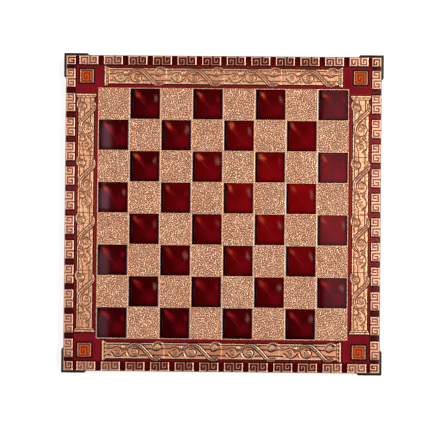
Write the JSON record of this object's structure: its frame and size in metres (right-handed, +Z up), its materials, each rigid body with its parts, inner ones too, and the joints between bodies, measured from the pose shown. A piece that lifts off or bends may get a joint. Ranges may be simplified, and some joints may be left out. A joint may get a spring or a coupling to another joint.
{
  "type": "chessboard",
  "caption": "Square cast-metal chessboard with red enamel dark squares, a key-pattern border, scroll bars and black corner feet; a raised playing surface for chess or draughts.",
  "frame": {"origin": "middle of the four feet's undersides, on the surface that the board stands on", "axes": "+Z up, normal to the playing face; +X along the ranks from file a to file h; +Y along the files from rank 1 to rank 8"},
  "size_m": [0.3628, 0.3628, 0.032],
  "materials": {
    "core_wood": "sanded",
    "lining": "fine-grained matte",
    "field_metal": "cast, pebbled and plated in copper gold",
    "border_metal": "cast and plated in rose copper",
    "bar_metal": "cast and plated in copper gold",
    "medallion_metal": "cast and plated in rose copper",
    "channel_enamel": "glossy translucent crimson",
    "orange_enamel": "glossy orange",
    "dark_enamel": "glossy deep red, domed at its edges",
    "foot_black": "satin black",
    "screw_steel": "plain"
  },
  "bodies": {
    "root": {"core_panel": "core_wood", "base_lining": "lining", "field_casting": "field_metal", "border_north": "border_metal", "border_east": "border_metal", "border_south": "border_metal", "border_west": "border_metal", "channel_enamel_north": "channel_enamel", "channel_enamel_east": "channel_enamel", "channel_enamel_south": "channel_enamel", "channel_enamel_west": "channel_enamel", "scroll_bar_north": "bar_metal", "scroll_bar_east": "bar_metal", "scroll_bar_south": "bar_metal", "scroll_bar_west": "bar_metal", "medallion_nw": "medallion_metal", "medallion_ne": "medallion_metal", "medallion_sw": "medallion_metal", "medallion_se": "medallion_metal", "medallion_enamel_nw": "orange_enamel", "medallion_enamel_ne": "orange_enamel", "medallion_enamel_sw": "orange_enamel", "medallion_enamel_se": "orange_enamel", "foot_nw": "foot_black", "foot_ne": "foot_black", "foot_sw": "foot_black", "foot_se": "foot_black", "foot_screws": "screw_steel", "inlay_a1": "dark_enamel", "inlay_a3": "dark_enamel", "inlay_a5": "dark_enamel", "inlay_a7": "dark_enamel", "inlay_b2": "dark_enamel", "inlay_b4": "dark_enamel", "inlay_b6": "dark_enamel", "inlay_b8": "dark_enamel", "inlay_c1": "dark_enamel", "inlay_c3": "dark_enamel", "inlay_c5": "dark_enamel", "inlay_c7": "dark_enamel", "inlay_d2": "dark_enamel", "inlay_d4": "dark_enamel", "inlay_d6": "dark_enamel", "inlay_d8": "dark_enamel", "inlay_e1": "dark_enamel", "inlay_e3": "dark_enamel", "inlay_e5": "dark_enamel", "inlay_e7": "dark_enamel", "inlay_f2": "dark_enamel", "inlay_f4": "dark_enamel", "inlay_f6": "dark_enamel", "inlay_f8": "dark_enamel", "inlay_g1": "dark_enamel", "inlay_g3": "dark_enamel", "inlay_g5": "dark_enamel", "inlay_g7": "dark_enamel", "inlay_h2": "dark_enamel", "inlay_h4": "dark_enamel", "inlay_h6": "dark_enamel", "inlay_h8": "dark_enamel"}
  },
  "joints": []
}
